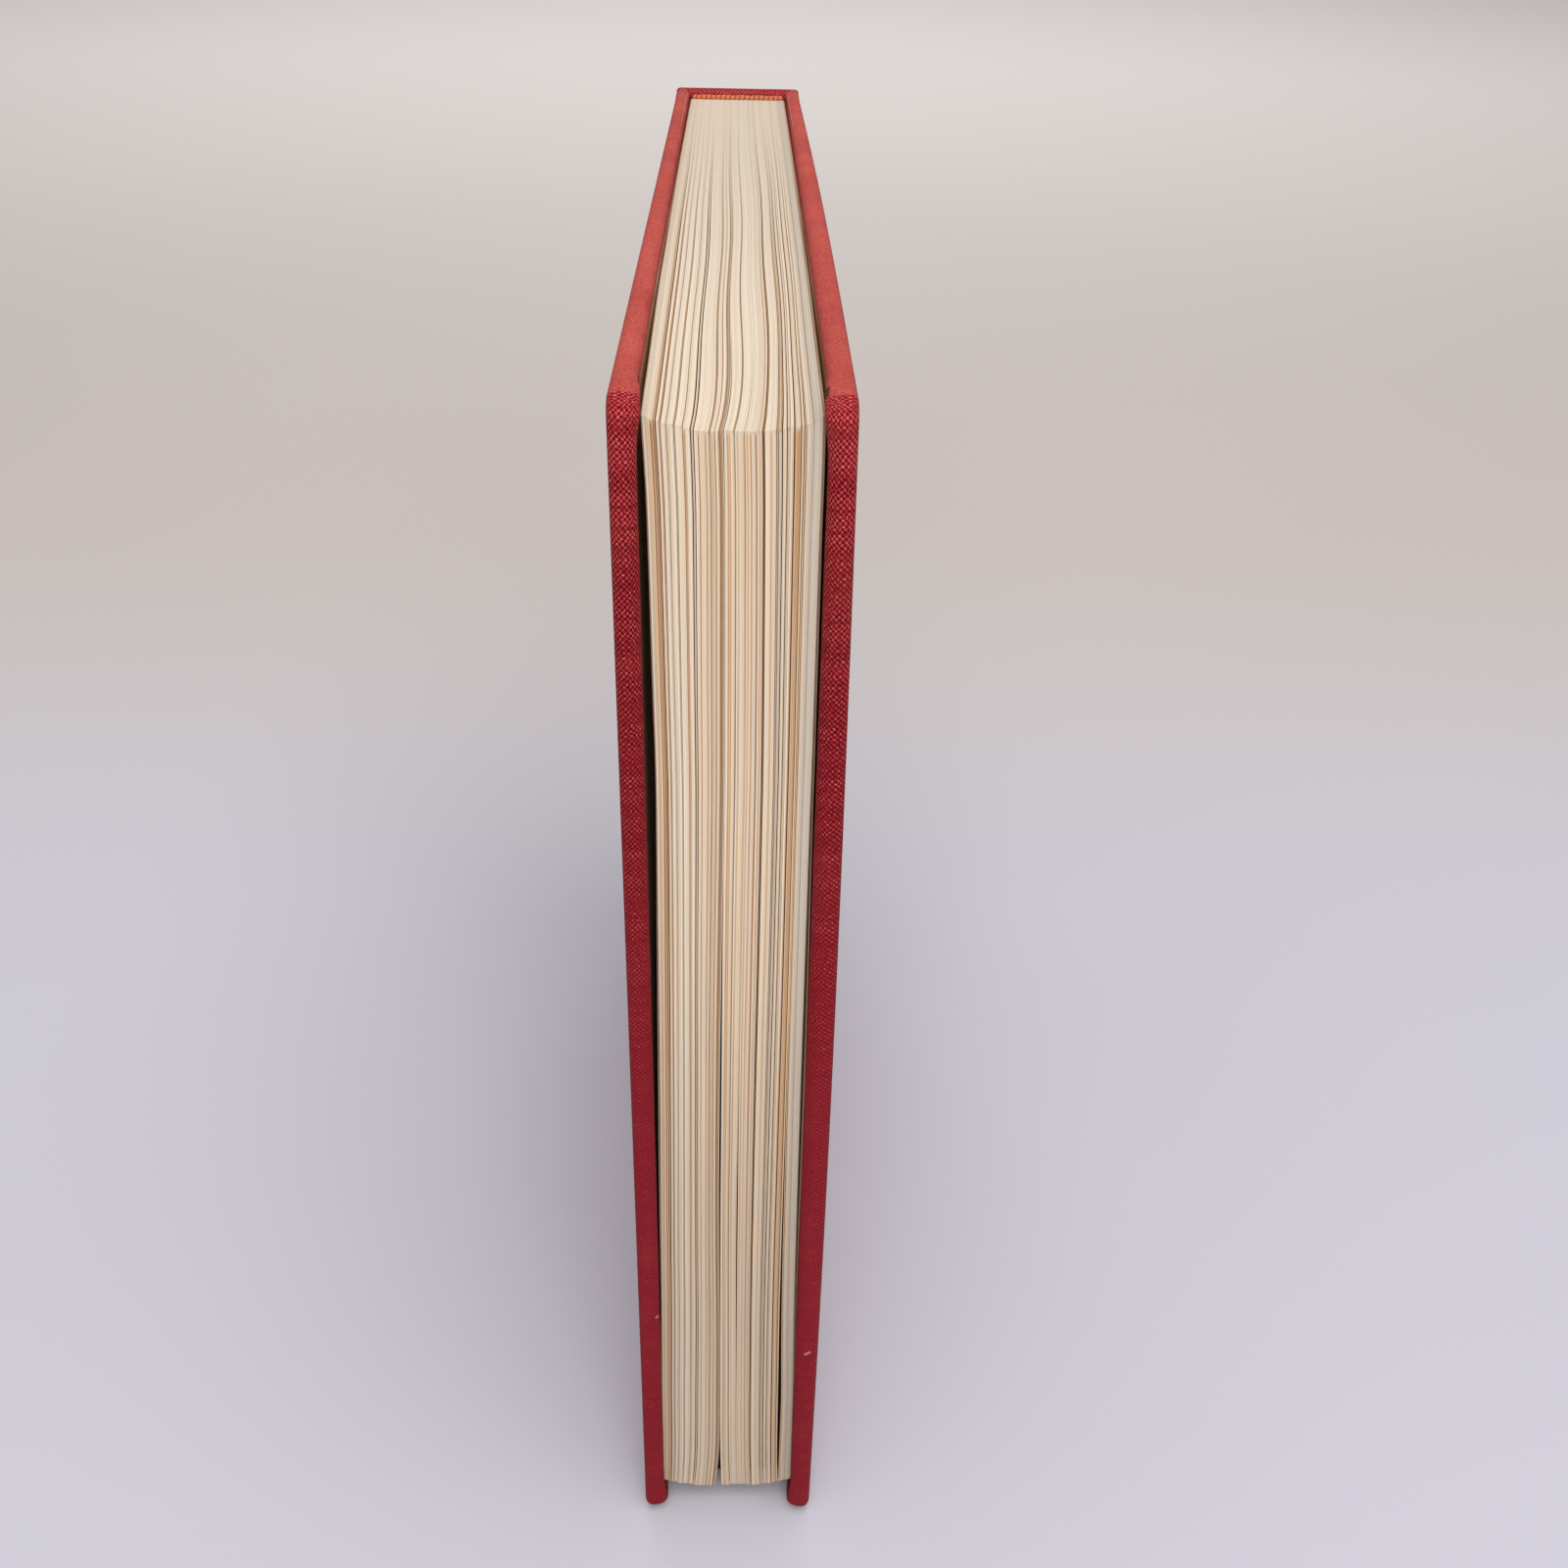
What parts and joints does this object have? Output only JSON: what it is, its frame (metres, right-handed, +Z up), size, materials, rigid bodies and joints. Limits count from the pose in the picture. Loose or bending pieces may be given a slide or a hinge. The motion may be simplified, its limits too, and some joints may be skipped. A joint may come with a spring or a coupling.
{
  "type": "hardback book",
  "caption": "Closed case-bound book in red cloth with a flat spine, striped head band and cockled cream leaves; the covers open on cloth joints.",
  "frame": {"origin": "middle of the book's footprint, on the surface that it stands on", "axes": "+Z up from tail to head, +Y from the fore edge to the spine, +X through the thickness from front cover to back cover"},
  "size_m": [0.0294, 0.191, 0.208],
  "materials": {
    "leaves": "matt book paper, toned cream to tan at its edges",
    "band": "salmon and cream striped ribbon with a corded edge",
    "lining": "open mull and glue",
    "endpaper": "plain matt cream endpaper",
    "card": "grey-brown millboard",
    "cloth": "coarse plain-weave red book cloth, faded along the head"
  },
  "bodies": {
    "root": {"text_block": "leaves", "head_band": "band", "tail_band": "band", "spine_lining": "lining", "front_flyleaf": "endpaper", "back_flyleaf": "endpaper", "spine_strip": "card", "spine_cloth": "cloth"},
    "front_cover": {"front_board": "card", "front_cloth": "cloth", "front_pastedown": "endpaper"},
    "back_cover": {"back_board": "card", "back_cloth": "cloth", "back_pastedown": "endpaper"}
  },
  "joints": [
    {"name": "front_joint", "type": "hinge", "parent": "root", "child": "front_cover", "pos_m": [-0.01279, 0.09311, 0.104], "axis": [0, 0, -1], "range_deg": [0, 178]},
    {"name": "back_joint", "type": "hinge", "parent": "root", "child": "back_cover", "pos_m": [0.01279, 0.09311, 0.104], "axis": [0, 0, 1], "range_deg": [0, 178]}
  ]
}
